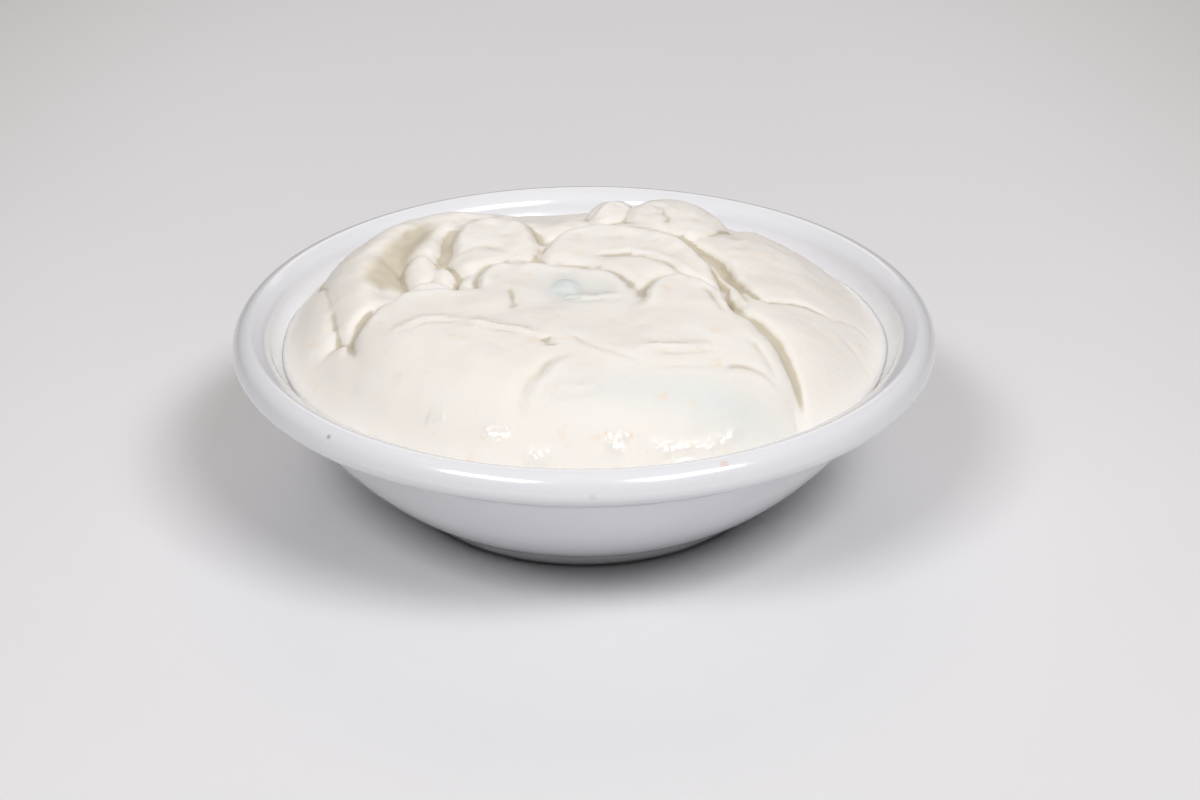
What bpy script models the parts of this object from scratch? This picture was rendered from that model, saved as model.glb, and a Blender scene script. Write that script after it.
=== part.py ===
"""A small white glazed bowl with a rolled rim, heaped with thick yogurt.

The bowl is one turned profile.  The yogurt is one solid: its top is a height over the plan, made of
a dome, rounded lobes that overlap like spoonfuls, and creases between them; its underside follows
the inside of the bowl.  Sizes are in millimetres and are scaled to metres when the meshes are made.
"""
import bmesh
import bpy
import numpy as np

MM = 0.001

# Bowl: the rolled rim
RIM_RADIUS = 62.5
BEAD_WIDEST_Z = 30.1
BEAD_TOP = (59.2, 33.75)
UNDER_LIP = [(62.35, 29.3), (61.8, 28.55), (60.6, 27.8), (58.3, 26.7), (56.3, 25.3)]
RIM_SHOULDER = (57.2, 32.75)
BEAD_STEPS = 6

# Bowl: the inside, from the middle of the floor up to the rim
FLOOR_Z = 5.2
FLOOR_RADIUS = 29.0
INNER_WALL = [(35.6, 7.7), (41.2, 12.5), (46.2, 18.0), (50.6, 23.8), (53.5, 27.6), (55.4, 30.2), (56.2, 31.7)]

# Bowl: the outside, from under the rim down to the foot
OUTER_WALL = [(54.5, 23.8), (50.1, 17.8), (45.3, 12.15), (39.8, 7.05), (34.5, 3.3)]
FOOT_SIDE = [(32.2, 2.2), (32.15, 1.6), (31.9, 0.6), (31.0, 0.0)]
FOOT_INNER_RADIUS = 27.6
RECESS_RADIUS = 26.4
RECESS_Z = 2.0

# Yogurt: the dome that the lobes sit on
FILM = 0.4
MARGIN_RADIUS = 53.4
MARGIN_Z = 28.2
MARGIN_EDGE = 0.5
DOME_RISE = 14.2
DOME_POWER = 4.9
LEFT_BACK_BULGE = (145.0, 32.0, 4.5)
RIGHT_BACK_BULGE = (70.0, 20.0, 3.0)
RIGHT_SLACK = (5.0, 25.0, -0.9)
FRONT_ROLL = (270.0, 50.0, 2.6)
LOBE_FADE = 6
EDGE_DROP = 1.2
VALLEY_DEPTH = 4.5
MERGE_SHARPNESS = 1.8

# Mesh resolution
BOWL_SEGMENTS = 64
YOGURT_SEGMENTS = 100
YOGURT_RINGS = 30
RING_CROWDING = 0.9
NARROWEST_CREASE = 2.7
NARROWEST_EDGE = 1.6
MERGE_DISTANCE = 0.00001

# Each lobe: centre x, centre y, half across, half deep, turn in degrees, lift above the dome,
# tilt (rise from the centre to the back), width of the rounded edge
LOBES = dict(
    front_body=(-3, -28, 36, 26, 0, 0.1, 0.0, 2.2),
    scallop_far_left=(-31, -19, 8.5, 10.5, 0, -0.1, 0.3, 1.3),
    scallop_left=(-27, -11, 6.5, 9, 0, -0.1, 0.5, 1.2),
    scallop_middle=(-12, -5, 9.5, 11, 0, 0.0, 0.6, 1.3),
    scallop_small=(4, -5, 7, 8.5, 0, -0.1, 0.5, 1.2),
    scallop_right=(16.5, -17, 9.5, 14.5, 0, 0.35, 0.5, 1.3),
    front_right=(20, -32, 14.5, 16.5, 0, -0.1, 0.0, 1.5),
    knob_tall=(-29, 4, 3.2, 5.5, 0, -0.9, 0.6, 1.0),
    knob_low=(-25, 1, 2.6, 4, 0, -1.2, 0.3, 1.0),
    rear_lump=(-16.4, 13, 7.9, 13.6, 0, 0.2, 0.7, 1.3),
    saddle=(-4, 10, 8, 11, 0, -1.2, 0.0, 2.0),
    rear_arc=(8, 4, 15, 19, 12, 0.0, 0.6, 1.3),
    inner_fold=(9, -1, 9, 10, 10, -0.1, 0.5, 1.1),
    left_lobe=(-40, 3, 5.5, 19, 6, -0.3, 0.0, 1.3),
    left_edge_lobe=(-48.5, -6, 4.2, 13, 6, -0.4, 0.0, 1.3),
    left_low=(-43, -30, 12, 14, 30, -0.9, 0.0, 2.0),
    back_left=(-26, 19, 16, 11, 8, 0.0, 0.5, 2.0),
    back_middle=(-4, 21, 16, 8.5, 0, -1.6, 0.0, 2.0),
    back_peak=(5, 29.5, 4.5, 6, 0, -0.2, 0.3, 1.3),
    back_right=(16.5, 26, 9, 11, -10, 0.3, 0.4, 1.5),
    right_mass=(39, -4, 13.5, 36, 8, -0.4, 0.0, 1.8),
    right_back=(31, 12, 12, 13, 30, -0.6, 0.0, 2.0),
    rear_hump=(-18, 6.5, 4.2, 5.5, 0, 0.15, 0.4, 1.0),
)

# Each crease: start, a point it passes halfway, end, height (minus is a groove), half width
CREASES = dict(
    right_groove=((25, -14), (33.2, -22.5), (37, -39), -1.9, 1.0),
    right_furrow=((23.5, 11), (28, -1.8), (30.7, -9), -1.0, 0.8),
    right_seam=((30.7, -9.1), (36.8, -6.8), (43, -7), -0.8, 0.8),
    right_far=((42.6, -8.8), (47.8, -4.8), (50.6, -7), -0.5, 0.7),
    furrow_inner=((20.5, 8), (24.3, 0.8), (26, -14), -1.1, 0.7),
    middle_crease=((-3.6, -24.8), (2.4, -31), (10.2, -35.6), -0.4, 0.8),
    left_groove=((-36.5, -9.5), (-39.7, -13.8), (-39.6, -23), -1.6, 1.1),
    dimple=((23.3, -35.2), (27.6, -33), (33.6, -34.5), -0.5, 0.8),
    left_seam=((-50, -15), (-44.5, -16.3), (-42.5, -12.5), -0.9, 0.8),
    left_low_seam=((-43.8, -23), (-44.8, -26), (-45.2, -31), -0.5, 0.8),
    small_lobe_edge=((-8.8, -46), (-8.2, -41), (-2.4, -32.5), -0.4, 0.9),
    pit=((-24.8, 7), (-25.3, 14), (-24.5, 21), -2.4, 1.5),
    hollow=((-35, -8), (-34, 8), (-29, 27), -1.8, 3.0),
)
CREASE_STEPS = 24


def clear_scene():
    """Removes every object, so that the part starts from an empty scene."""
    for item in list(bpy.data.objects):
        bpy.data.objects.remove(item, do_unlink=True)


def material(name, colour, roughness):
    """A plain non-metallic Principled material."""
    made = bpy.data.materials.new(name)
    made.use_nodes = True
    shader = made.node_tree.nodes["Principled BSDF"]
    shader.inputs["Base Color"].default_value = (*colour, 1.0)
    shader.inputs["Roughness"].default_value = roughness
    shader.inputs["Metallic"].default_value = 0.0
    made.diffuse_color = (*colour, 1.0)
    return made


def finished(form, name, made):
    """Turns a bmesh into a smooth-shaded object with its material."""
    mesh = bpy.data.meshes.new(name)
    form.to_mesh(mesh)
    form.free()
    mesh.materials.append(made)
    mesh.shade_smooth()
    item = bpy.data.objects.new(name, mesh)
    bpy.context.scene.collection.objects.link(item)
    return item


def quarter(start, corner, end, steps):
    """Points of a quarter ellipse from start to end, both left out, bulging towards corner."""
    t = np.linspace(0, np.pi / 2, steps + 2)[1:-1]
    start, corner, end = map(np.asarray, (start, corner, end))
    middle = start + end - corner
    return [tuple(middle + (start - middle) * np.cos(a) + (end - middle) * np.sin(a)) for a in t]


def inner_profile():
    """The inside of the bowl from the floor to just under the shoulder of the rim."""
    return [(FLOOR_RADIUS * 0.5, FLOOR_Z), (FLOOR_RADIUS, FLOOR_Z + 0.5)] + INNER_WALL


def bowl_profile():
    """Radius and height of every ring of the bowl, from the inside floor over the rim to the recess."""
    widest = (RIM_RADIUS, BEAD_WIDEST_Z)
    rows = inner_profile()
    rows.append(RIM_SHOULDER)
    rows.append(((RIM_SHOULDER[0] + BEAD_TOP[0]) / 2, BEAD_TOP[1] - 0.2))
    rows.append(BEAD_TOP)
    rows += quarter(BEAD_TOP, (RIM_RADIUS, BEAD_TOP[1]), widest, BEAD_STEPS)
    rows.append(widest)
    rows += UNDER_LIP + OUTER_WALL + FOOT_SIDE
    rows.append((FOOT_INNER_RADIUS, 0.0))
    rows.append((RECESS_RADIUS, RECESS_Z))
    return rows


def build_bowl():
    """The bowl: its profile spun round the axis, with the seam and the two poles merged."""
    profile = [(0.0, FLOOR_Z)] + bowl_profile() + [(0.0, RECESS_Z)]
    form = bmesh.new()
    corners = [form.verts.new((radius * MM, 0.0, height * MM)) for radius, height in profile]
    edges = [form.edges.new(pair) for pair in zip(corners[:-1], corners[1:])]
    bmesh.ops.spin(
        form,
        geom=corners + edges,
        cent=(0, 0, 0),
        axis=(0, 0, 1),
        angle=2 * np.pi,
        steps=BOWL_SEGMENTS,
    )
    bmesh.ops.remove_doubles(form, verts=form.verts[:], dist=MERGE_DISTANCE)
    bmesh.ops.recalc_face_normals(form, faces=form.faces[:])
    return finished(form, "bowl", material("white glaze", (0.72, 0.72, 0.74), 0.16))


def bump(angle, middle, spread, size):
    """A bell over the angle round the bowl, in degrees."""
    away = (angle - middle + 180.0) % 360.0 - 180.0
    return size * np.exp(-(away / spread) ** 2)


def dome(x, y):
    """Height of the smooth heap: flat on top, falling to the margin, fuller towards the back."""
    angle = np.degrees(np.arctan2(y, x))
    power = DOME_POWER + bump(angle, *LEFT_BACK_BULGE) + bump(angle, *RIGHT_BACK_BULGE)
    power = power + bump(angle, *RIGHT_SLACK) + bump(angle, *FRONT_ROLL)
    return MARGIN_Z + DOME_RISE * (1 - (np.hypot(x, y) / MARGIN_RADIUS) ** power)


def lobe(x, y, centre_x, centre_y, across, deep, turn, lift, tilt, edge):
    """Height of one rounded slab over the dome, dropping away past its elliptic outline."""
    t = np.radians(turn)
    u = (x - centre_x) * np.cos(t) + (y - centre_y) * np.sin(t)
    v = (y - centre_y) * np.cos(t) - (x - centre_x) * np.sin(t)
    rho = np.hypot(u / across, v / deep) + 1e-9
    steep = np.hypot(u / across ** 2, v / deep ** 2) / rho + 1e-9
    outside = np.minimum((rho - 1) / steep / max(edge, NARROWEST_EDGE), 4.0)
    return lift + tilt * v / deep - EDGE_DROP * np.exp(outside)


def crease(x, y, start, halfway, end, rise, wide):
    """A groove or ridge of bell section along a parabola through three points, fading at its ends."""
    t = np.linspace(0, 1, CREASE_STEPS)[:, None]
    start, halfway, end = map(np.asarray, (start, halfway, end))
    pull = 2 * halfway - 0.5 * (start + end)
    path = (1 - t) ** 2 * start + 2 * t * (1 - t) * pull + t ** 2 * end
    nearest = np.full(x.shape, np.inf)
    along = np.zeros(x.shape)
    for i in range(CREASE_STEPS - 1):
        ax, ay = path[i]
        dx, dy = path[i + 1] - path[i]
        s = np.clip(((x - ax) * dx + (y - ay) * dy) / (dx * dx + dy * dy), 0, 1)
        gap = np.hypot(x - ax - s * dx, y - ay - s * dy)
        along = np.where(gap < nearest, (i + s) / (CREASE_STEPS - 1), along)
        nearest = np.minimum(nearest, gap)
    ends = np.clip(6.4 * along * (1 - along), 0, 1)
    return rise * np.exp(-(nearest / max(wide, NARROWEST_CREASE)) ** 2) * ends


def yogurt_height(x, y):
    """Height of the yogurt's top over the plan: the dome with lobes smoothly merged, and creases."""
    merged = np.exp(-MERGE_SHARPNESS * VALLEY_DEPTH) * np.ones_like(x)
    for sizes in LOBES.values():
        merged = merged + np.exp(MERGE_SHARPNESS * lobe(x, y, *sizes))
    relief = np.log(merged) / MERGE_SHARPNESS
    for sizes in CREASES.values():
        relief = relief + crease(x, y, *sizes)
    reach = np.clip(np.hypot(x, y) / MARGIN_RADIUS, 0, 1)
    return dome(x, y) + relief * (1 - reach ** LOBE_FADE)


def ring(form, radius, heights):
    """One ring of corners round the axis; heights holds one height for each corner."""
    angle = np.linspace(0, 2 * np.pi, YOGURT_SEGMENTS, endpoint=False)
    spots = np.stack([radius * np.cos(angle), radius * np.sin(angle), heights], -1) * MM
    return [form.verts.new(spot) for spot in spots]


def build_yogurt():
    """The yogurt as one closed solid, its underside a film's width inside the bowl."""
    form = bmesh.new()
    angle = np.linspace(0, 2 * np.pi, YOGURT_SEGMENTS, endpoint=False)
    peak = yogurt_height(np.zeros(1), np.zeros(1))[0]
    rings = []
    for k in range(1, YOGURT_RINGS + 1):
        radius = MARGIN_RADIUS * (k / YOGURT_RINGS) ** RING_CROWDING
        rings.append(ring(form, radius, yogurt_height(radius * np.cos(angle), radius * np.sin(angle))))
    level = np.ones(YOGURT_SEGMENTS)
    rings.append(ring(form, MARGIN_RADIUS - FILM / 2, (MARGIN_Z - MARGIN_EDGE) * level))
    for radius, height in reversed(inner_profile()):
        if height < MARGIN_Z - 2 * MARGIN_EDGE:
            rings.append(ring(form, radius - FILM, (height + FILM / 2) * level))
    for inner, outer in zip(rings[:-1], rings[1:]):
        for k in range(YOGURT_SEGMENTS):
            form.faces.new((inner[k - 1], outer[k - 1], outer[k], inner[k]))
    for pole_height, rim in ((peak, rings[0]), (FLOOR_Z + FILM, rings[-1])):
        pole = form.verts.new((0, 0, pole_height * MM))
        for k in range(YOGURT_SEGMENTS):
            form.faces.new((pole, rim[k - 1], rim[k]))
    bmesh.ops.recalc_face_normals(form, faces=form.faces[:])
    return finished(form, "yogurt", material("thick yogurt", (0.84, 0.83, 0.79), 0.3))


clear_scene()
build_bowl()
build_yogurt()
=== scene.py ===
"""A small white glazed bowl with a rolled rim, heaped with thick yogurt, on a pale table."""
import bpy
import numpy as np
from mathutils import Matrix, Vector


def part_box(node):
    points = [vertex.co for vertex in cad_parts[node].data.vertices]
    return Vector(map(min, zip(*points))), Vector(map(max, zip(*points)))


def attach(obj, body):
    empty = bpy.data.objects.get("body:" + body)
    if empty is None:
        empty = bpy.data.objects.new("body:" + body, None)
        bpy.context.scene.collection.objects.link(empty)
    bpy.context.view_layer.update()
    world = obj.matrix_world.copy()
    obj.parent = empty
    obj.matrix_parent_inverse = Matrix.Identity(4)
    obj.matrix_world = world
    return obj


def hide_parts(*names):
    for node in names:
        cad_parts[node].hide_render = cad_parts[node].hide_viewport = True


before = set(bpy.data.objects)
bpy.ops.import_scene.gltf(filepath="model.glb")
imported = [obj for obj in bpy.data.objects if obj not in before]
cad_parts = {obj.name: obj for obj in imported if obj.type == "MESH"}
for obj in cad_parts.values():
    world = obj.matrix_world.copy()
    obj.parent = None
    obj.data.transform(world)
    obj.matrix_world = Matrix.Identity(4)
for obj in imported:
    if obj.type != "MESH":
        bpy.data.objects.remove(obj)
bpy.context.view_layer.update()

BOWL_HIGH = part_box("bowl")[1]
YOGURT_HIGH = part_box("yogurt")[1]
MM = 0.001
SEED = 41

# Bowl, in millimetres: its width and height come from the frame
RIM_RADIUS = float(BOWL_HIGH[0]) / MM
RIM_TOP = float(BOWL_HIGH[2]) / MM
BEAD_WIDEST_Z = 30.1
BEAD_TOP_RADIUS = RIM_RADIUS - 3.3
FLOOR_Z = 5.2
FLOOR_RADIUS = 29.0
FLOOR_DISH = 0.5
INNER_WALL = [(35.6, 7.7), (41.2, 12.5), (46.2, 18.0), (50.6, 23.8), (53.5, 27.6), (55.4, 30.2)]
RIM_SHOULDER = [(56.2, 31.7), (57.2, 32.75)]
UNDER_LIP = [(62.35, 29.3), (61.8, 28.55), (60.6, 27.8), (58.3, 26.7), (56.3, 25.3)]
OUTER_WALL = [(54.5, 23.8), (50.1, 17.8), (45.3, 12.15), (39.8, 7.05), (34.5, 3.3)]
FOOT_NECK = [(33.2, 2.75), (32.2, 2.2)]
FOOT_SIDE = [(32.15, 1.6), (31.9, 0.6), (31.5, 0.2), (31.0, 0.0)]
FOOT_INNER_RADIUS = 27.6
SOLE_BEVEL = (0.5, 0.4)
RECESS_RADIUS = 26.4
RECESS_Z = 2.0
RECESS_LEDGE = 1.5
INSIDE_STEPS = 6
BEAD_STEPS = 16
OUTSIDE_STEPS = 5
BOWL_SEGMENTS = 288
GLAZE_WAVE = 0.035
WAVE_START_Z = 3.0
WAVE_FULL_Z = 9.0
WAVE_TWIST = 9.0

# Yogurt, in millimetres: its edge on the wall, with waves round the bowl (count, size and phase)
# and a lift on the left (angle, spread and size, as for each bell round the bowl)
MARGIN_Z = 28.2
MARGIN_WANDER = 0.225
MARGIN_WAVES = [(3, 1.0, 1.0), (7, 0.7, 0.0), (13, 0.5, 2.0)]
MARGIN_LEFT_LIFT = (180.0, 20.0, 0.3)
WALL_TOUCH = 0.06
UNDERSIDE_GAP = 3 * WALL_TOUCH
UNDERSIDE_TOP = MARGIN_Z - 2

# The dome that the lobes sit on, with the bells that change its power round the bowl
DOME_TOP = float(YOGURT_HIGH[2]) / MM - 0.75
DOME_POWER = 4.9
LEFT_BACK_BULGE = (145.0, 32.0, 4.5)
RIGHT_BACK_BULGE = (70.0, 20.0, 3.0)
RIGHT_SLACK = (5.0, 25.0, -0.9)
FRONT_ROLL = (270.0, 50.0, 2.6)

# How lobes drop at their outlines, merge, and fade towards the edge
LOBE_FADE = 6
EDGE_DROP = 1.2
VALLEY_DEPTH = 4.5
MERGE_SHARPNESS = 4.0
EDGE_SOFTNESS = 0.85
DROP_LIMIT = 4.0
TINY = 1e-9
GRID = 298

# Noise: its lattice, then the layers, each with its feature size and its height or shift
LATTICE = 64
LATTICE_SHIFT = 200.0
NOISE_GAIN = 1.5
FOLD_WARP = [(13.0, 0.9), (4.8, 0.46), (2.2, 0.2)]
RIPPLES = [(11.0, 0.34), (5.2, 0.16), (2.4, 0.035)]
STREAK_LENGTH = 15.0
STREAK_WIDTH = 3.4
STREAK_RISE = 0.13
REAR_SIZE = 3.1
REAR_RISE = 0.2
REAR_START = 16.0
MENISCUS = 0.7
RIPPLE_SEED = SEED + 20
STREAK_SEED = SEED + 30
REAR_SEED = SEED + 31

# Painted shade in the yogurt's hollows: how far the top lies below its own average, over a bell so many
# grid cells wide, and the depth in millimetres that counts as 1
BROAD_HOLLOW = (6.0, 1.0)
FINE_HOLLOW = (1.6, 0.12)
HOLLOW_FADE = 24
WET_CLEARS = 0.7
WET_REACH = 1.6

# Each lobe: centre x, centre y, half across, half deep, turn in degrees, lift above the dome,
# tilt (rise from the centre to the back), width of the rounded edge
LOBES = dict(
    front_body=(-3, -28, 36, 26, 0, 0.1, 0.0, 2.2),
    scallop_far_left=(-31, -19, 8.5, 10.5, 0, -0.1, 0.3, 1.3),
    scallop_left=(-27, -11, 6.5, 9, 0, -0.1, 0.5, 1.2),
    scallop_middle=(-12, -5, 9.5, 11, 0, 0.0, 0.6, 1.3),
    scallop_small=(4, -5, 7, 8.5, 0, -0.1, 0.5, 1.2),
    scallop_right=(16.5, -17, 9.5, 14.5, 0, 0.35, 0.5, 1.3),
    front_right=(20, -32, 14.5, 16.5, 0, -0.1, 0.0, 1.5),
    knob_tall=(-29, 4, 3.2, 5.5, 0, -0.9, 0.6, 1.0),
    knob_low=(-25, 1, 2.6, 4, 0, -1.2, 0.3, 1.0),
    rear_lump=(-16.4, 13, 7.9, 13.6, 0, 0.2, 0.7, 1.3),
    saddle=(-4, 10, 8, 11, 0, -1.2, 0.0, 2.0),
    rear_arc=(8, 4, 15, 19, 12, 0.0, 0.6, 1.3),
    inner_fold=(9, -1, 9, 10, 10, -0.1, 0.5, 1.1),
    left_lobe=(-40, 3, 5.5, 19, 6, -0.3, 0.0, 2.1),
    left_edge_lobe=(-48.5, -6, 4.2, 13, 6, -0.4, 0.0, 2.4),
    left_low=(-43, -30, 12, 14, 30, -0.9, 0.0, 2.0),
    back_left=(-26, 19, 16, 11, 8, 0.0, 0.5, 2.0),
    back_middle=(-4, 21, 16, 8.5, 0, -1.6, 0.0, 2.0),
    back_peak=(5, 29.5, 4.5, 6, 0, -0.2, 0.3, 1.3),
    back_right=(16.5, 26, 9, 11, -10, 0.3, 0.4, 1.5),
    right_mass=(39, -4, 13.5, 36, 8, -0.4, 0.0, 1.8),
    right_back=(31, 12, 12, 13, 30, -0.6, 0.0, 2.0),
    bubble=(-3.1, -6.9, 2.4, 3.2, 0, 0.7, 0.0, 0.9),
    rear_hump=(-18, 6.5, 4.2, 5.5, 0, 0.15, 0.4, 1.0),
)

# Each crease: start, a point it passes halfway, end, height (minus is a groove), half width, and a
# step that lifts the side on the right of its path and lowers the left
CREASES = dict(
    right_groove=((25, -14), (33.2, -22.5), (37, -39), -1.9, 1.0, 0.0),
    groove_inner=((28, -23.5), (30.5, -28), (32.5, -33), -0.4, 1.0, 0.0),
    right_furrow=((23.5, 11), (28, -1.8), (30.7, -9), -1.0, 0.8, 0.0),
    right_seam=((30.7, -9.1), (36.8, -6.8), (43, -7), -0.8, 0.8, 0.0),
    right_far=((42.6, -8.8), (47.8, -4.8), (50.6, -7), -0.5, 0.7, 0.0),
    right_nick=((45, -12), (47.5, -14), (49, -18), -0.4, 0.8, 0.0),
    furrow_inner=((20.5, 8), (24.3, 0.8), (26, -14), -1.1, 0.7, 0.0),
    furrow_outer=((17, 18), (25, 6), (28.5, -12), -1.0, 0.7, 0.0),
    furrow_strand=((19, 14), (25.2, 3), (27.2, -13), -0.5, 0.45, 0.0),
    furrow_scallop=((21.5, -7), (23, -12), (24.5, -17), -0.5, 0.8, 0.0),
    arc_inner=((1, 7.5), (12, 7.4), (20.4, -5), -0.3, 1.2, -0.35),
    long_line=((-3.6, -24.8), (2.4, -31), (10.2, -35.6), -0.14, 0.9, 0.12),
    long_line_end=((10, -35.5), (17.7, -35.5), (25, -33.7), -0.1, 0.9, 0.1),
    small_pit=((-6.5, -26.3), (-5.9, -28), (-5.4, -29.6), -0.7, 1.1, 0.0),
    face_crease=((-12.6, -5.5), (-11.7, -11), (-11.9, -16), -0.25, 1.2, -0.2),
    faint_mark=((-16.7, -27), (-15, -29.8), (-13.4, -32), -0.12, 1.0, 0.0),
    left_groove=((-36.5, -9.5), (-39.7, -13.8), (-39.6, -23), -1.25, 1.35, 0.0),
    left_trough=((-38.9, -24.4), (-34.4, -30), (-30, -33), -0.5, 1.6, 0.0),
    left_seam=((-50, -15), (-44.5, -16.3), (-42.5, -12.5), -0.35, 1.1, 0.0),
    left_edge=((-43.5, -11.4), (-44.6, -8.5), (-45.2, -4.5), -0.4, 1.1, 0.0),
    left_low_seam=((-43.8, -23), (-44.8, -26), (-45.2, -31), -0.4, 1.0, 0.0),
    peak_line=((1.5, 26), (5, 32), (8.5, 30), 0.3, 0.9, 0.3),
    peak_notch=((12, 31), (15, 27), (14, 21), -0.4, 1.0, 0.2),
    pit=((-24.8, 7), (-25.3, 14), (-24.5, 21), -2.4, 1.5, 0.0),
    hollow=((-35, -8), (-34, 8), (-29, 27), -1.8, 3.0, 0.0),
    arch=((-22, 8.5), (-19, 12), (-15, 8.2), -0.25, 1.3, 0.1),
    notch_middle=((-17.6, -6.5), (-17.6, 1.5), (-11.6, 3.4), -0.35, 1.5, 0.75),
    crest_far_left=((-38, -16), (-35.5, -9.5), (-31, -6.8), -0.2, 1.8, 0.6),
    crest_left=((-33, -7.2), (-26, -6), (-17.5, -6.2), -0.3, 1.8, 0.8),
    crest_middle=((-13, 3.2), (-5, 2.6), (2.4, 0.2), -0.25, 2.0, 0.85),
    crest_small=((1, 1), (5.2, -1.8), (8, -8), -0.3, 1.6, 0.6),
    crest_right=((10, -15), (13.2, -3.6), (19.5, -4), -0.2, 1.8, 0.7),
    crest_right_end=((18, -3.8), (23.5, -7), (26, -17), -0.2, 1.6, 0.7),
    crest_lump=((-24.3, 13), (-22, 23.4), (-14.5, 22.6), -0.2, 2.0, 0.6),
    crest_lump_end=((-15.5, 23), (-10.2, 20.5), (-8, 13), -0.2, 1.8, 0.6),
    crest_arc=((-7.8, 13), (0.5, 20), (11.5, 17.6), -0.2, 2.0, 0.8),
    crest_arc_end=((9.5, 18.6), (19, 12), (25.5, -3.5), -0.2, 1.8, 0.8),
    dimple=((23.3, -35.2), (27.6, -33), (33.6, -34.5), -0.3, 1.1, 0.35),
    small_lobe_edge=((-8.8, -46), (-8.2, -41), (-2.4, -32.5), -0.1, 1.7, 0.5),
)

# Wet ledges and low folds that catch the light, given as the creases are
LEDGES = dict(
    fold_left_line=((-20.5, -20.8), (-27, -18.5), (-33.5, -22.5), 0, 1.1, 0.24),
    fold_line=((-7, -26), (-14, -22.8), (-21.5, -20.4), 0, 1.1, 0.24),
    fold_right=((22, -28.7), (15.5, -30.6), (9, -29.5), 0, 1.1, 0.46),
    fold_small_lobe=((4.5, -41), (-1, -43), (-6.5, -42.4), 0, 1.1, 0.34),
    fold_behind_crest=((7, -9.5), (1, -11.2), (-5, -10.5), 0, 1.3, 0.14),
    fold_low_left=((-22.5, -42.2), (-24.2, -42.4), (-26, -41.8), 0, 0.6, 0.06),
    fold_front_low=((8, -48.6), (5.5, -49.3), (3, -48.8), 0, 0.6, 0.06),
    fold_front_edge=((7, -50.2), (5, -50.6), (3, -50.2), 0, 0.6, 0.06),
    fold_front_right=((28.5, -41.5), (19.2, -47.6), (10, -49.2), 0, 0.6, 0.06),
    fold_front_right_low=((23, -46.9), (18, -49.5), (13, -49.8), 0, 0.6, 0.06),
    fold_front_left=((-11, -47.3), (-14, -47.6), (-17, -46.5), 0, 0.6, 0.06),
    fold_left_edge=((-4.5, -50.8), (-7, -51.3), (-9.5, -50.6), 0, 0.6, 0.06),
)
CREASE_STEPS = 24

# How blunt the ends are: 4 tapers all the way along, and more keeps the middle at full height
CREASE_TAPER = 6.4
LEDGE_TAPER = 4.0

# Soft bands of painted olive shade: start, a point passed halfway, end, strength, half width
SHADE_BANDS = dict(
    left_rear=((-37, -2), (-34, 11), (-28, 25), 1.9, 3.4),
    right_rear=((17, 27), (30, 17), (37, 4), 0.35, 3.0),
    right_edge=((38, 20), (47, 8), (50, -8), 0.35, 2.6),
    right_groove=((27, -15), (34.5, -23), (38, -38), 0.5, 2.2),
    right_furrow=((20, 14), (27, 0), (29, -12), 0.5, 2.6),
    back_left=((-30, 27), (-22, 32), (-12, 31), 0.5, 2.2),
)

# Whey: centre x, centre y, half across, half deep, amount
WHEY = dict(
    bubble=(-3.2, -6.9, 2.7, 4.0, 0.9),
    behind_crest=(-1, -8, 9, 7, 0.4),
    front_right=(22, -41, 12, 4, 0.6),
    front_middle=(5, -42, 10, 4, 0.35),
)

# Colours of the glaze, with its small marks: place, radius, colour and strength of each
GLAZE_TONES = ((0.75, 0.755, 0.795), (0.785, 0.79, 0.82))
# Painted shade on the foot's lowest edge, where it meets the table: its colour, the heights where it fades
# out, and its strength
FOOT_PAINTED_SHADE = (0.10, 0.075, 0.06)
FOOT_SHADE_TOP = (0.4, 1.3)
FOOT_SHADE_STRENGTH = 0.7
GLAZE_MARKS = dict(
    speck=((-41.9, -45.5, 32.8), 0.35, (0.12, 0.11, 0.15), 0.45),
    mark=((1.5, -62.4, 30.4), 0.35, (0.25, 0.25, 0.30), 0.15),
    stain=((22.6, -56.6, 33.0), 0.5, (0.75, 0.50, 0.46), 0.5),
)

# Colours of the yogurt
CREAM_TONES = ((0.835, 0.795, 0.74), (0.865, 0.84, 0.80))
WHEY_BLUE = (0.63, 0.715, 0.735)
# Painted shade: the olive mixed into the yogurt's hollows and creases
CREASE_PAINTED_SHADE = (0.50, 0.43, 0.28)
BLUSH = (0.86, 0.68, 0.52)
DRY_ROUGHNESS = 0.50
WET_ROUGHNESS = 0.12

# The table: its half width, its colours, the colour of the painted shade where the light falls off to the
# sides, and how far to the side that shade starts and ends
TABLE_HALF = 1500.0
TABLE_TONES = ((0.765, 0.765, 0.785), (0.79, 0.79, 0.81))
TABLE_PAINTED_FALLOFF = (0.52, 0.50, 0.485)
TABLE_FALLOFF_RANGE = (100.0, 285.0)
TABLE_STRETCH = (1.0, 0.35, 0.0)

# Camera: 84 mm lens, looking down on the middle of the bowl
LENS = 84.0
SENSOR = 36.0
CAMERA_DISTANCE = 506.3
CAMERA_ELEVATION = 26.57
CAMERA_ROLL = -0.25
AIM = (2.73, 0.0, 16.46)
NEAR_CLIP = 10.0

# Light: each lamp's place and size in millimetres, its watts and its colour; then the room
WARM = (1.0, 0.91, 0.84)
COOL = (0.985, 0.99, 1.0)
LAMPS = dict(
    left_lamp=((-975.0, -1325.0, 1875.0), (1000.0, 520.0), 25.3, COOL),
    right_lamp=((1010.0, -1170.0, 1965.0), (1150.0, 640.0), 35.6, COOL),
    back_lamp=((0.0, 1800.0, 1700.0), (1500.0, 1000.0), 6.0, WARM),
    panel=((0.0, 0.0, 2500.0), (3000.0, 3000.0), 11.0, WARM),
)
LAMP_AIM = (0.0, 0.0, 30.0)
ROOM_STRENGTH = 0.08


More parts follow.
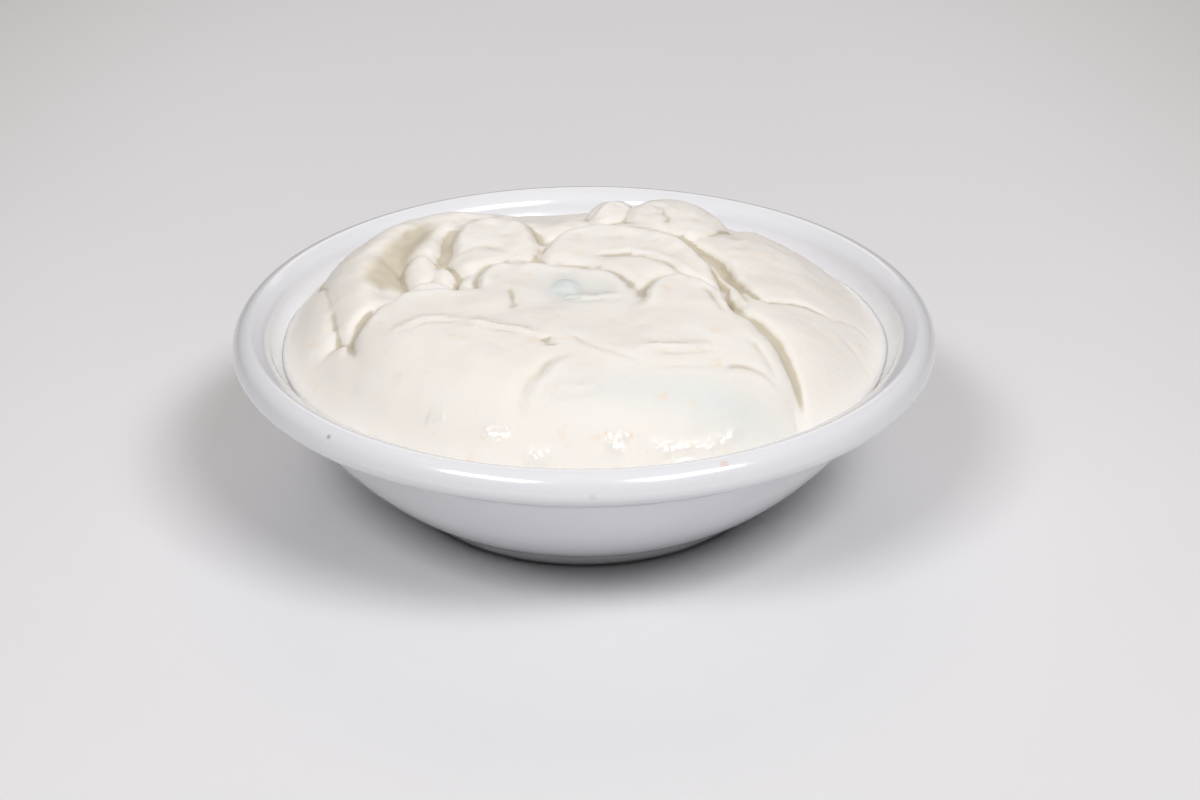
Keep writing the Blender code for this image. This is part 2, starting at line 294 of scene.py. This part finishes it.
class Socket:
    """An output in a material's nodes; arithmetic on it adds Math nodes."""

    def __init__(self, tree, socket):
        self.tree = tree
        self.socket = socket

    def math(self, operation, first, second):
        node = self.tree.nodes.new("ShaderNodeMath")
        node.operation = operation
        for slot, value in zip(node.inputs, (first, second)):
            if isinstance(value, Socket):
                self.tree.links.new(value.socket, slot)
            else:
                slot.default_value = value
        return Socket(self.tree, node.outputs[0])

    def __add__(self, other):
        return self.math("ADD", self, other)

    def __radd__(self, other):
        return self.math("ADD", other, self)

    def __sub__(self, other):
        return self.math("SUBTRACT", self, other)

    def __rsub__(self, other):
        return self.math("SUBTRACT", other, self)

    def __mul__(self, other):
        return self.math("MULTIPLY", self, other)

    def __rmul__(self, other):
        return self.math("MULTIPLY", other, self)

    def clamped(self):
        return self.math("MINIMUM", self.math("MAXIMUM", self, 0.0), 1.0)


class Finish:
    """A material under construction, with its Principled shader."""

    def __init__(self, name):
        self.material = bpy.data.materials.new(name)
        self.material.use_nodes = True
        self.tree = self.material.node_tree
        self.shader = self.tree.nodes["Principled BSDF"]

    def add(self, kind, settings=None, sockets=None, output=0):
        """One node: its settings first, then its sockets' values or links; returns an output."""
        node = self.tree.nodes.new(kind)
        for key, value in (settings or {}).items():
            setattr(node, key, value)
        for key, value in (sockets or {}).items():
            self.put(node.inputs[key], value)
        return Socket(self.tree, node.outputs[output])

    def put(self, slot, value):
        """Links an output to a socket, or sets the socket's own value."""
        if isinstance(value, Socket):
            self.tree.links.new(value.socket, slot)
        elif isinstance(value, tuple) and len(value) == 3 and slot.type == "RGBA":
            slot.default_value = (*value, 1.0)
        else:
            slot.default_value = value

    def set(self, **values):
        """Sets sockets of the Principled shader; underscores stand for spaces."""
        for key, value in values.items():
            self.put(self.shader.inputs[key.replace("_", " ")], value)

    def place(self, scale=1.0):
        """Object coordinates in millimetres, divided by scale."""
        spot = self.add("ShaderNodeTexCoord", output=3)
        return self.add("ShaderNodeVectorMath", {"operation": "SCALE"}, {0: spot, "Scale": 1 / MM / scale})

    def noise(self, size, detail=2.0, rough=0.5):
        """Cloudy noise, 0 to 1, with features of about size millimetres."""
        sockets = {"Vector": self.place(size), "Scale": 1.0, "Detail": detail, "Roughness": rough}
        return self.add("ShaderNodeTexNoise", None, sockets)

    def smooth(self, value, low, high):
        """0 below low, 1 above high, with a smooth step between."""
        settings = {"interpolation_type": "SMOOTHSTEP"}
        sockets = {"Value": value, "From Min": low, "From Max": high}
        return self.add("ShaderNodeMapRange", settings, sockets)

    def attribute(self, name):
        """A number stored at each point of the mesh."""
        return self.add("ShaderNodeAttribute", {"attribute_name": name}, None, 2)

    def mix(self, first, second, factor):
        """A colour between first and second."""
        return self.add("ShaderNodeMix", {"data_type": "RGBA"}, {0: factor, 6: first, 7: second}, 2)

    def near(self, spot, radius):
        """1 within radius millimetres of a spot, falling to 0 at twice that."""
        ends = {0: self.place(), 1: Vector(spot)}
        away = self.add("ShaderNodeVectorMath", {"operation": "DISTANCE"}, ends, 1)
        return 1 - self.smooth(away, radius, 2 * radius)

    def bump(self, height, strength, distance):
        """A Bump node on the shader's Normal; distance is in millimetres."""
        sockets = {"Height": height, "Strength": strength, "Distance": distance * MM}
        self.put(self.shader.inputs["Normal"], self.add("ShaderNodeBump", None, sockets))


def glaze_finish():
    """White glaze: faintly blue, uneven in tone, with its few specks and painted contact shade darkening
    the foot's lowest edge.
    """
    finish = Finish("white glaze")
    tone = finish.mix(*GLAZE_TONES, finish.noise(18.0, 3.0))
    height = finish.add("ShaderNodeSeparateXYZ", None, {0: finish.place()}, 2)
    # Painted shade: the foot's lowest edge is darkened where it meets the table
    foot_shade = 1 - finish.smooth(height, *FOOT_SHADE_TOP)
    tone = finish.mix(tone, FOOT_PAINTED_SHADE, foot_shade * FOOT_SHADE_STRENGTH)
    for spot, radius, colour, strength in GLAZE_MARKS.values():
        tone = finish.mix(tone, colour, finish.near(spot, radius) * strength)
    finish.set(
        Base_Color=tone,
        Roughness=finish.noise(6.0, 3.0) * 0.08 + 0.14,
        Coat_Weight=0.6,
        Coat_Roughness=0.06,
        IOR=1.5,
    )
    finish.bump(finish.noise(5.0, 2.0), 0.12, 0.06)
    return finish.material


def yogurt_finish():
    """Thick yogurt: cream white, with olive painted shade in its creases, bluish where whey lies, finely
    flecked.
    """
    finish = Finish("thick yogurt")
    tone = finish.mix(*CREAM_TONES, finish.noise(9.0, 3.0))
    whey = finish.attribute("whey")
    tone = finish.mix(tone, WHEY_BLUE, (whey * 0.65).clamped())
    # Painted shade: olive mixed in by how deep in a hollow the top lies, and along the shade bands
    hollow = finish.attribute("hollow")
    painted_shade = finish.smooth(hollow + finish.noise(2.2, 2.0) * 0.3 - 0.15, 0.15, 1.6)
    tone = finish.mix(tone, CREASE_PAINTED_SHADE, painted_shade * 0.62)
    blush = finish.smooth(finish.noise(3.4, 2.0, 0.6), 0.64, 0.74)
    tone = finish.mix(tone, BLUSH, blush * 0.35)
    gleam = finish.attribute("wet")
    patch = finish.smooth(finish.noise(1.8, 2.0), 0.60, 0.70)
    wet = (gleam + patch * 0.15).clamped()
    finish.set(
        Base_Color=tone,
        Roughness=DRY_ROUGHNESS - wet * (DRY_ROUGHNESS - WET_ROUGHNESS),
        Subsurface_Weight=0.85,
        Subsurface_Radius=(1.0, 0.92, 0.75),
        Subsurface_Scale=0.0035,
        IOR=1.36,
    )
    grain = finish.noise(1.3, 2.0, 0.5) * 0.2 + finish.noise(4.2, 2.0, 0.5)
    crinkle = gleam * finish.noise(1.7, 1.0, 0.4) * 2.2
    finish.bump(grain + crinkle, 0.35, 0.45)
    return finish.material


def table_finish():
    """The pale table: almost white, a little cool, with painted shade making it darker and warmer away to
    the sides, where the light falls off.
    """
    finish = Finish("pale table")
    tone = finish.mix(*TABLE_TONES, finish.noise(60.0, 2.0))
    # Painted shade: the light's falloff away from the middle, painted into the table's colour
    flat = {0: finish.place(), 1: Vector(TABLE_STRETCH)}
    aside = finish.add("ShaderNodeVectorMath", {"operation": "MULTIPLY"}, flat)
    away = finish.add("ShaderNodeVectorMath", {"operation": "LENGTH"}, {0: aside}, 1)
    tone = finish.mix(tone, TABLE_PAINTED_FALLOFF, finish.smooth(away, *TABLE_FALLOFF_RANGE))
    finish.set(Base_Color=tone, Roughness=0.45)
    return finish.material


def quarter(start, corner, end, steps):
    """Points of a quarter ellipse from start to end, both left out, bulging towards corner."""
    t = np.linspace(0, np.pi / 2, steps + 2)[1:-1, None]
    start, corner, end = map(np.asarray, (start, corner, end))
    middle = start + end - corner
    return middle + (start - middle) * np.cos(t) + (end - middle) * np.sin(t)


def flowing(points, steps):
    """A Catmull-Rom curve: between two points, a cubic whose slopes follow their neighbours."""
    points = np.asarray(points, float)
    padded = np.concatenate([2 * points[:1] - points[1:2], points, 2 * points[-1:] - points[-2:-1]])
    t = np.linspace(0, 1, steps, endpoint=False)[None, :, None]
    a, b, c, d = (padded[k:len(padded) - 3 + k, None, :] for k in range(4))
    bend = (2 * a - 5 * b + 4 * c - d) * t ** 2 + (3 * b - a - 3 * c + d) * t ** 3
    curve = 0.5 * (2 * b + (c - a) * t + bend)
    return np.concatenate([curve.reshape(-1, 2), points[-1:]])


def inner_profile():
    """Radius and height of the bowl's inside, from the floor up to the rim's shoulder."""
    floor = [(FLOOR_RADIUS * 0.5, FLOOR_Z), (FLOOR_RADIUS, FLOOR_Z + FLOOR_DISH)]
    return floor + INNER_WALL


def bowl_profile():
    """Radius and height down the whole bowl: inside, over the rolled rim, outside, foot, recess."""
    widest = (RIM_RADIUS, BEAD_WIDEST_Z)
    bead_top = (BEAD_TOP_RADIUS, RIM_TOP)
    inside = flowing(inner_profile() + RIM_SHOULDER + [bead_top], INSIDE_STEPS)
    bead = quarter(bead_top, (RIM_RADIUS, RIM_TOP), widest, BEAD_STEPS)
    outside = flowing([widest] + UNDER_LIP + OUTER_WALL + FOOT_NECK + FOOT_SIDE, OUTSIDE_STEPS)
    sole = [(FOOT_INNER_RADIUS, 0.0), (FOOT_INNER_RADIUS - SOLE_BEVEL[0], SOLE_BEVEL[1])]
    recess = [(RECESS_RADIUS, RECESS_Z), (RECESS_RADIUS - RECESS_LEDGE, RECESS_Z)]
    return np.concatenate([inside, bead, outside, sole, recess])


def mesh_piece(name, points, quads, triangles, material):
    """A smooth-shaded object from points in millimetres, four-sided and three-sided faces."""
    mesh = bpy.data.meshes.new(name)
    corners = np.concatenate([quads.reshape(-1), triangles.reshape(-1)])
    sizes = np.concatenate([np.full(len(quads), 4), np.full(len(triangles), 3)])
    starts = np.concatenate([[0], np.cumsum(sizes)[:-1]])
    mesh.vertices.add(len(points))
    mesh.vertices.foreach_set("co", (points * MM).astype(np.float32).reshape(-1))
    mesh.loops.add(len(corners))
    mesh.loops.foreach_set("vertex_index", corners.astype(np.int32))
    mesh.polygons.add(len(sizes))
    mesh.polygons.foreach_set("loop_start", starts.astype(np.int32))
    mesh.polygons.foreach_set("use_smooth", np.ones(len(sizes), bool))
    mesh.update(calc_edges=True)
    mesh.validate()
    mesh.materials.append(material)
    piece = bpy.data.objects.new(name, mesh)
    bpy.context.scene.collection.objects.link(piece)
    return piece


def ring_quads(rows, count, first):
    """Quads between rings of count points each, stored ring after ring from index first."""
    row, k = np.meshgrid(np.arange(rows - 1), np.arange(count), indexing="ij")
    a = first + row * count + k
    b = first + row * count + (k + 1) % count
    return np.stack([a, a + count, b + count, b], -1).reshape(-1, 4)


def fan(pole, ring):
    """Triangles from a pole to each side of a ring of indices."""
    return np.stack([np.full(len(ring), pole), ring, np.roll(ring, -1)], -1)


def build_bowl():
    """The bowl: each point of the profile carried round the axis, x = r cos a, y = r sin a.

    Above the foot, two slow waves round the bowl take a few hundredths of a millimetre off r.
    """
    profile = bowl_profile()
    angle = np.linspace(0, 2 * np.pi, BOWL_SEGMENTS, endpoint=False)
    r = profile[:, :1] * np.ones_like(angle)
    z = profile[:, 1:] * np.ones_like(angle)
    above_foot = np.clip((z - WAVE_START_Z) / (WAVE_FULL_Z - WAVE_START_Z), 0, 1)
    sway = GLAZE_WAVE * above_foot * (np.sin(3 * angle + 0.7) + 0.6 * np.sin(7 * angle + z / WAVE_TWIST))
    r = r - np.abs(sway)
    body = np.stack([r * np.cos(angle), r * np.sin(angle), z], -1).reshape(-1, 3)
    points = np.concatenate([body, [(0, 0, FLOOR_Z), (0, 0, RECESS_Z)]])
    rows = len(profile)
    quads = ring_quads(rows, BOWL_SEGMENTS, 0)
    first = np.arange(BOWL_SEGMENTS)
    last = first + (rows - 1) * BOWL_SEGMENTS
    floor = fan(len(body), first)
    base = fan(len(body) + 1, last)[:, ::-1]
    return mesh_piece("glazed_bowl", points, quads, np.concatenate([floor, base]), glaze_finish())


def bell(angle, middle, spread, size):
    """A bell over the angle round the bowl, in degrees."""
    away = (angle - middle + 180.0) % 360.0 - 180.0
    return size * np.exp(-(away / spread) ** 2)


def gradient_noise(x, y, size, seed):
    """Smooth noise, about -1 to 1: random slopes at lattice points, blended by a quintic curve."""
    slopes = np.random.default_rng(seed).uniform(0, 2 * np.pi, (LATTICE, LATTICE))
    x, y = x / size + LATTICE_SHIFT, y / size + LATTICE_SHIFT
    column, row = np.floor(x).astype(int), np.floor(y).astype(int)
    fx, fy = x - column, y - row

    def pull(dx, dy):
        slope = slopes[(row + dy) % LATTICE, (column + dx) % LATTICE]
        return (fx - dx) * np.cos(slope) + (fy - dy) * np.sin(slope)

    sx, sy = (t ** 3 * (t * (6 * t - 15) + 10) for t in (fx, fy))
    near = pull(0, 0) * (1 - sx) + pull(1, 0) * sx
    far = pull(0, 1) * (1 - sx) + pull(1, 1) * sx
    return NOISE_GAIN * (near * (1 - sy) + far * sy)


def margin(angle):
    """Radius and height of the yogurt's edge: a wandering line on the inside of the bowl."""
    degrees = np.degrees(angle)
    wander = sum(size * np.sin(count * angle + phase) for count, size, phase in MARGIN_WAVES)
    height = MARGIN_Z + MARGIN_WANDER * wander + bell(degrees, *MARGIN_LEFT_LIFT)
    wall = np.array(inner_profile())
    return np.interp(height, wall[:, 1], wall[:, 0]) - WALL_TOUCH, height


def lobe(x, y, centre_x, centre_y, across, deep, turn, lift, tilt, edge):
    """Height of one rounded slab over the dome, dropping away past its elliptic outline."""
    t = np.radians(turn)
    u = (x - centre_x) * np.cos(t) + (y - centre_y) * np.sin(t)
    v = (y - centre_y) * np.cos(t) - (x - centre_x) * np.sin(t)
    rho = np.hypot(u / across, v / deep) + TINY
    steep = np.hypot(u / across ** 2, v / deep ** 2) / rho + TINY
    outside = np.minimum((rho - 1) / steep / (EDGE_SOFTNESS * edge), DROP_LIMIT)
    return lift + tilt * v / deep - EDGE_DROP * np.exp(outside)


def crease(x, y, start, halfway, end, rise, wide, step, taper=CREASE_TAPER):
    """A groove or ridge of bell section along a parabola through three points, fading at its ends.

    With q the distance from the path over wide, minus on its left, the height is
    (rise + 2 step q) exp(-q squared).
    """
    t = np.linspace(0, 1, CREASE_STEPS)[:, None]
    start, halfway, end = map(np.asarray, (start, halfway, end))
    pull = 2 * halfway - 0.5 * (start + end)
    path = (1 - t) ** 2 * start + 2 * t * (1 - t) * pull + t ** 2 * end
    nearest = np.full(x.shape, np.inf)
    along = np.zeros(x.shape)
    side = np.zeros(x.shape)
    for i in range(CREASE_STEPS - 1):
        ax, ay = path[i]
        dx, dy = path[i + 1] - path[i]
        s = np.clip(((x - ax) * dx + (y - ay) * dy) / (dx * dx + dy * dy), 0, 1)
        gap = np.hypot(x - ax - s * dx, y - ay - s * dy)
        closer = gap < nearest
        along = np.where(closer, (i + s) / (CREASE_STEPS - 1), along)
        side = np.where(closer, np.sign((x - ax) * dy - (y - ay) * dx), side)
        nearest = np.minimum(nearest, gap)
    ends = np.clip(taper * along * (1 - along), 0, 1)
    q = nearest / wide
    return (rise + 2 * step * side * q) * np.exp(-q ** 2) * ends


def yogurt_height(x, y, edge_radius, edge_height):
    """Height of the yogurt's top: a dome, lobes smoothly merged over it, creases and ripples.

    The dome is edge + (top - edge) (1 - (r / edge radius) ** power), and the power changes round the
    bowl. Lobes merge as the log of a sum of exponentials, in a plan that noise has shifted a little,
    so that outlines wander. The height h above the edge becomes s log((1 + exp(h / s)) / 2), which
    flattens it where it meets the wall.
    """
    angle = np.degrees(np.arctan2(y, x))
    power = DOME_POWER + bell(angle, *LEFT_BACK_BULGE) + bell(angle, *RIGHT_BACK_BULGE)
    power = power + bell(angle, *RIGHT_SLACK) + bell(angle, *FRONT_ROLL)
    reach = np.clip(np.hypot(x, y) / edge_radius, 0, 1)
    dome = edge_height + (DOME_TOP - edge_height) * (1 - reach ** power)
    fade = 1 - reach ** LOBE_FADE
    wx, wy = x, y
    for k, (size, push) in enumerate(FOLD_WARP):
        wx = wx + fade * push * gradient_noise(x, y, size, SEED + 2 * k)
        wy = wy + fade * push * gradient_noise(x, y, size, SEED + 2 * k + 1)
    merged = np.exp(-MERGE_SHARPNESS * VALLEY_DEPTH) * np.ones_like(x)
    for sizes in LOBES.values():
        merged = merged + np.exp(MERGE_SHARPNESS * lobe(wx, wy, *sizes))
    relief = np.log(merged) / MERGE_SHARPNESS
    for sizes in CREASES.values():
        relief = relief + crease(wx, wy, *sizes)
    for sizes in LEDGES.values():
        relief = relief + crease(wx, wy, *sizes, LEDGE_TAPER)
    for k, (size, rise) in enumerate(RIPPLES):
        relief = relief + rise * gradient_noise(x, y, size, RIPPLE_SEED + k)
    stretch = STREAK_LENGTH / STREAK_WIDTH
    round_way = np.radians(angle) * edge_radius
    streaks = gradient_noise(round_way, np.hypot(x, y) * stretch, STREAK_LENGTH, STREAK_SEED)
    relief = relief + STREAK_RISE * reach ** 2 * streaks
    rear = np.clip(y / REAR_START, 0, 1)
    relief = relief + REAR_RISE * rear * gradient_noise(x, y, REAR_SIZE, REAR_SEED)
    above = dome + relief * fade - edge_height
    return edge_height + MENISCUS * (np.logaddexp(0, above / MENISCUS) - np.log(2))


def round_grid(count):
    """Radius (0 to 1) and angle of a square grid pressed into a disc, ring of squares to ring.

    For a square ring at distance r from the middle, the angle is pi/4 times the share of its side.
    """
    side = np.linspace(-1, 1, count)
    u, v = np.meshgrid(side, side)
    wide = np.abs(u) > np.abs(v)
    r = np.where(wide, u, v)
    share = np.where(wide, v / np.where(wide, u, 1), u / np.where(wide | (v == 0), 1, v))
    angle = np.where(wide, np.pi / 4 * share, np.pi / 2 - np.pi / 4 * share)
    return np.abs(r), np.where(r < 0, angle + np.pi, angle)


def rim_of_grid(count):
    """Indices round the edge of a square grid, in order, each corner once."""
    index = np.arange(count * count).reshape(count, count)
    parts = [index[0, :-1], index[:-1, -1], index[-1, :0:-1], index[:0:-1, 0]]
    return np.concatenate(parts)


def blurred(field, cells):
    """The field averaged over a bell cells wide, row by row and then column by column."""
    reach = int(3 * cells)
    weights = np.exp(-0.5 * (np.arange(-reach, reach + 1) / cells) ** 2)
    weights /= weights.sum()
    for axis in (0, 1):
        padded = np.pad(field, [(reach, reach) if k == axis else (0, 0) for k in (0, 1)], mode="edge")
        field = sum(
            w * np.take(padded, np.arange(k, k + field.shape[axis]), axis)
            for k, w in enumerate(weights)
        )
    return field


def wet_places(x, y):
    """How wet each point is, 0 to 1: a bell across each ledge that catches the light."""
    wet = np.zeros_like(x)
    for start, halfway, end, _, wide, _ in LEDGES.values():
        wet = np.maximum(wet, crease(x, y, start, halfway, end, 1.0, WET_REACH * wide, 0.0))
    return wet


def whey_patches(x, y):
    """How much whey lies on each point, 0 to 1: soft ovals at the wettest places."""
    whey = np.zeros_like(x)
    for centre_x, centre_y, across, deep, amount in WHEY.values():
        whey += amount * np.exp(-((x - centre_x) / across) ** 2 - ((y - centre_y) / deep) ** 2)
    return np.clip(whey, 0, 1)


def crease_shade(x, y, z, share, wet):
    """How much olive shade is painted on each point of the top: how deep in a hollow it lies, with the
    painted shade bands; less where it is wet.
    """
    deep = np.zeros_like(z)
    for cells, full in (BROAD_HOLLOW, FINE_HOLLOW):
        deep += np.maximum((blurred(z, cells) - z) / full, 0)
    for start, halfway, end, strength, wide in SHADE_BANDS.values():
        deep = deep + crease(x, y, start, halfway, end, strength, wide, 0.0)
    return deep * (1 - share ** HOLLOW_FADE) * (1 - WET_CLEARS * wet)


def build_yogurt():
    """The yogurt: its top is a height over a disc, its underside lies just inside the bowl."""
    share, angle = round_grid(GRID)
    edge_radius, edge_height = margin(angle)
    r = share * edge_radius
    x, y = r * np.cos(angle), r * np.sin(angle)
    z = yogurt_height(x, y, edge_radius, edge_height)
    top = np.stack([x, y, z], -1).reshape(-1, 3)
    index = np.arange(GRID * GRID).reshape(GRID, GRID)
    a, b = index[:-1, :-1], index[:-1, 1:]
    c, d = index[1:, 1:], index[1:, :-1]
    quads = np.stack([a, b, c, d], -1).reshape(-1, 4)
    rim = rim_of_grid(GRID)
    rim_angle = angle.reshape(-1)[rim]
    under = [(radius, height) for radius, height in inner_profile()[::-1] if height < UNDERSIDE_TOP]
    rows = []
    for radius, height in under:
        ring_r = radius - UNDERSIDE_GAP
        ring_z = np.full(len(rim), height + WALL_TOUCH)
        rows.append(np.stack([ring_r * np.cos(rim_angle), ring_r * np.sin(rim_angle), ring_z], -1))
    first = len(top)
    pole = first + len(under) * len(rim)
    points = np.concatenate([top] + rows + [[(0, 0, FLOOR_Z + WALL_TOUCH)]])
    low = first + np.arange(len(rim))
    skirt = np.stack([rim, low, np.roll(low, -1), np.roll(rim, -1)], -1)
    sides = ring_quads(len(under), len(rim), first)
    last = first + (len(under) - 1) * len(rim) + np.arange(len(rim))
    quads = np.concatenate([quads, skirt, sides])
    piece = mesh_piece("yogurt_heap", points, quads, fan(pole, last)[:, ::-1], yogurt_finish())
    wet = wet_places(x, y)
    # The hollow attribute holds the painted crease shade
    levels = dict(hollow=crease_shade(x, y, z, share, wet), whey=whey_patches(x, y), wet=wet)
    for name, level in levels.items():
        values = np.zeros(len(points), np.float32)
        values[:first] = level.reshape(-1)
        piece.data.attributes.new(name, "FLOAT", "POINT").data.foreach_set("value", values)
    return piece


def build_table():
    """The table: one wide square under the foot."""
    corners = TABLE_HALF * np.array([(-1, -1, 0), (1, -1, 0), (1, 1, 0), (-1, 1, 0)])
    quads = np.array([[0, 1, 2, 3]])
    return mesh_piece("table", corners, quads, np.zeros((0, 3), int), table_finish())


def aimed(item, place, target):
    """Turns a lamp or camera at place (mm) towards target (mm)."""
    place, target = Vector(place) * MM, Vector(target) * MM
    turn = (target - place).to_track_quat("-Z", "Y")
    item.matrix_world = Matrix.Translation(place) @ turn.to_matrix().to_4x4()


def soft_lamp(name, place, size, power, colour):
    """A rectangular lamp over the bowl; size is in millimetres and power in watts."""
    data = bpy.data.lights.new(name, "AREA")
    data.shape = "RECTANGLE"
    data.size, data.size_y = size[0] * MM, size[1] * MM
    data.energy = power
    data.color = colour
    lamp = bpy.data.objects.new(name, data)
    bpy.context.scene.collection.objects.link(lamp)
    aimed(lamp, place, LAMP_AIM)


def light_scene():
    """Soft boxes in front on the left and on the right, dim ones behind and above, and the room."""
    for name, values in LAMPS.items():
        soft_lamp(name, *values)
    world = bpy.data.worlds.new("studio")
    world.use_nodes = True
    background = world.node_tree.nodes["Background"]
    background.inputs["Color"].default_value = (*WARM, 1.0)
    background.inputs["Strength"].default_value = ROOM_STRENGTH
    bpy.context.scene.world = world
    bpy.context.scene.view_settings.view_transform = "Standard"


def set_camera():
    """A long lens in front of the bowl, looking down on it."""
    data = bpy.data.cameras.new("camera")
    data.lens = LENS
    data.sensor_width = SENSOR
    data.clip_start = NEAR_CLIP * MM
    camera = bpy.data.objects.new("camera", data)
    bpy.context.scene.collection.objects.link(camera)
    tilt = np.radians(CAMERA_ELEVATION)
    place = (AIM[0], AIM[1] - CAMERA_DISTANCE * np.cos(tilt), AIM[2] + CAMERA_DISTANCE * np.sin(tilt))
    aimed(camera, place, AIM)
    camera.matrix_world = camera.matrix_world @ Matrix.Rotation(np.radians(CAMERA_ROLL), 4, "Z")
    bpy.context.scene.camera = camera


bowl = build_bowl()
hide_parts("bowl")
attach(bowl, "root")

yogurt = build_yogurt()
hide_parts("yogurt")
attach(yogurt, "root")

build_table()
light_scene()
set_camera()
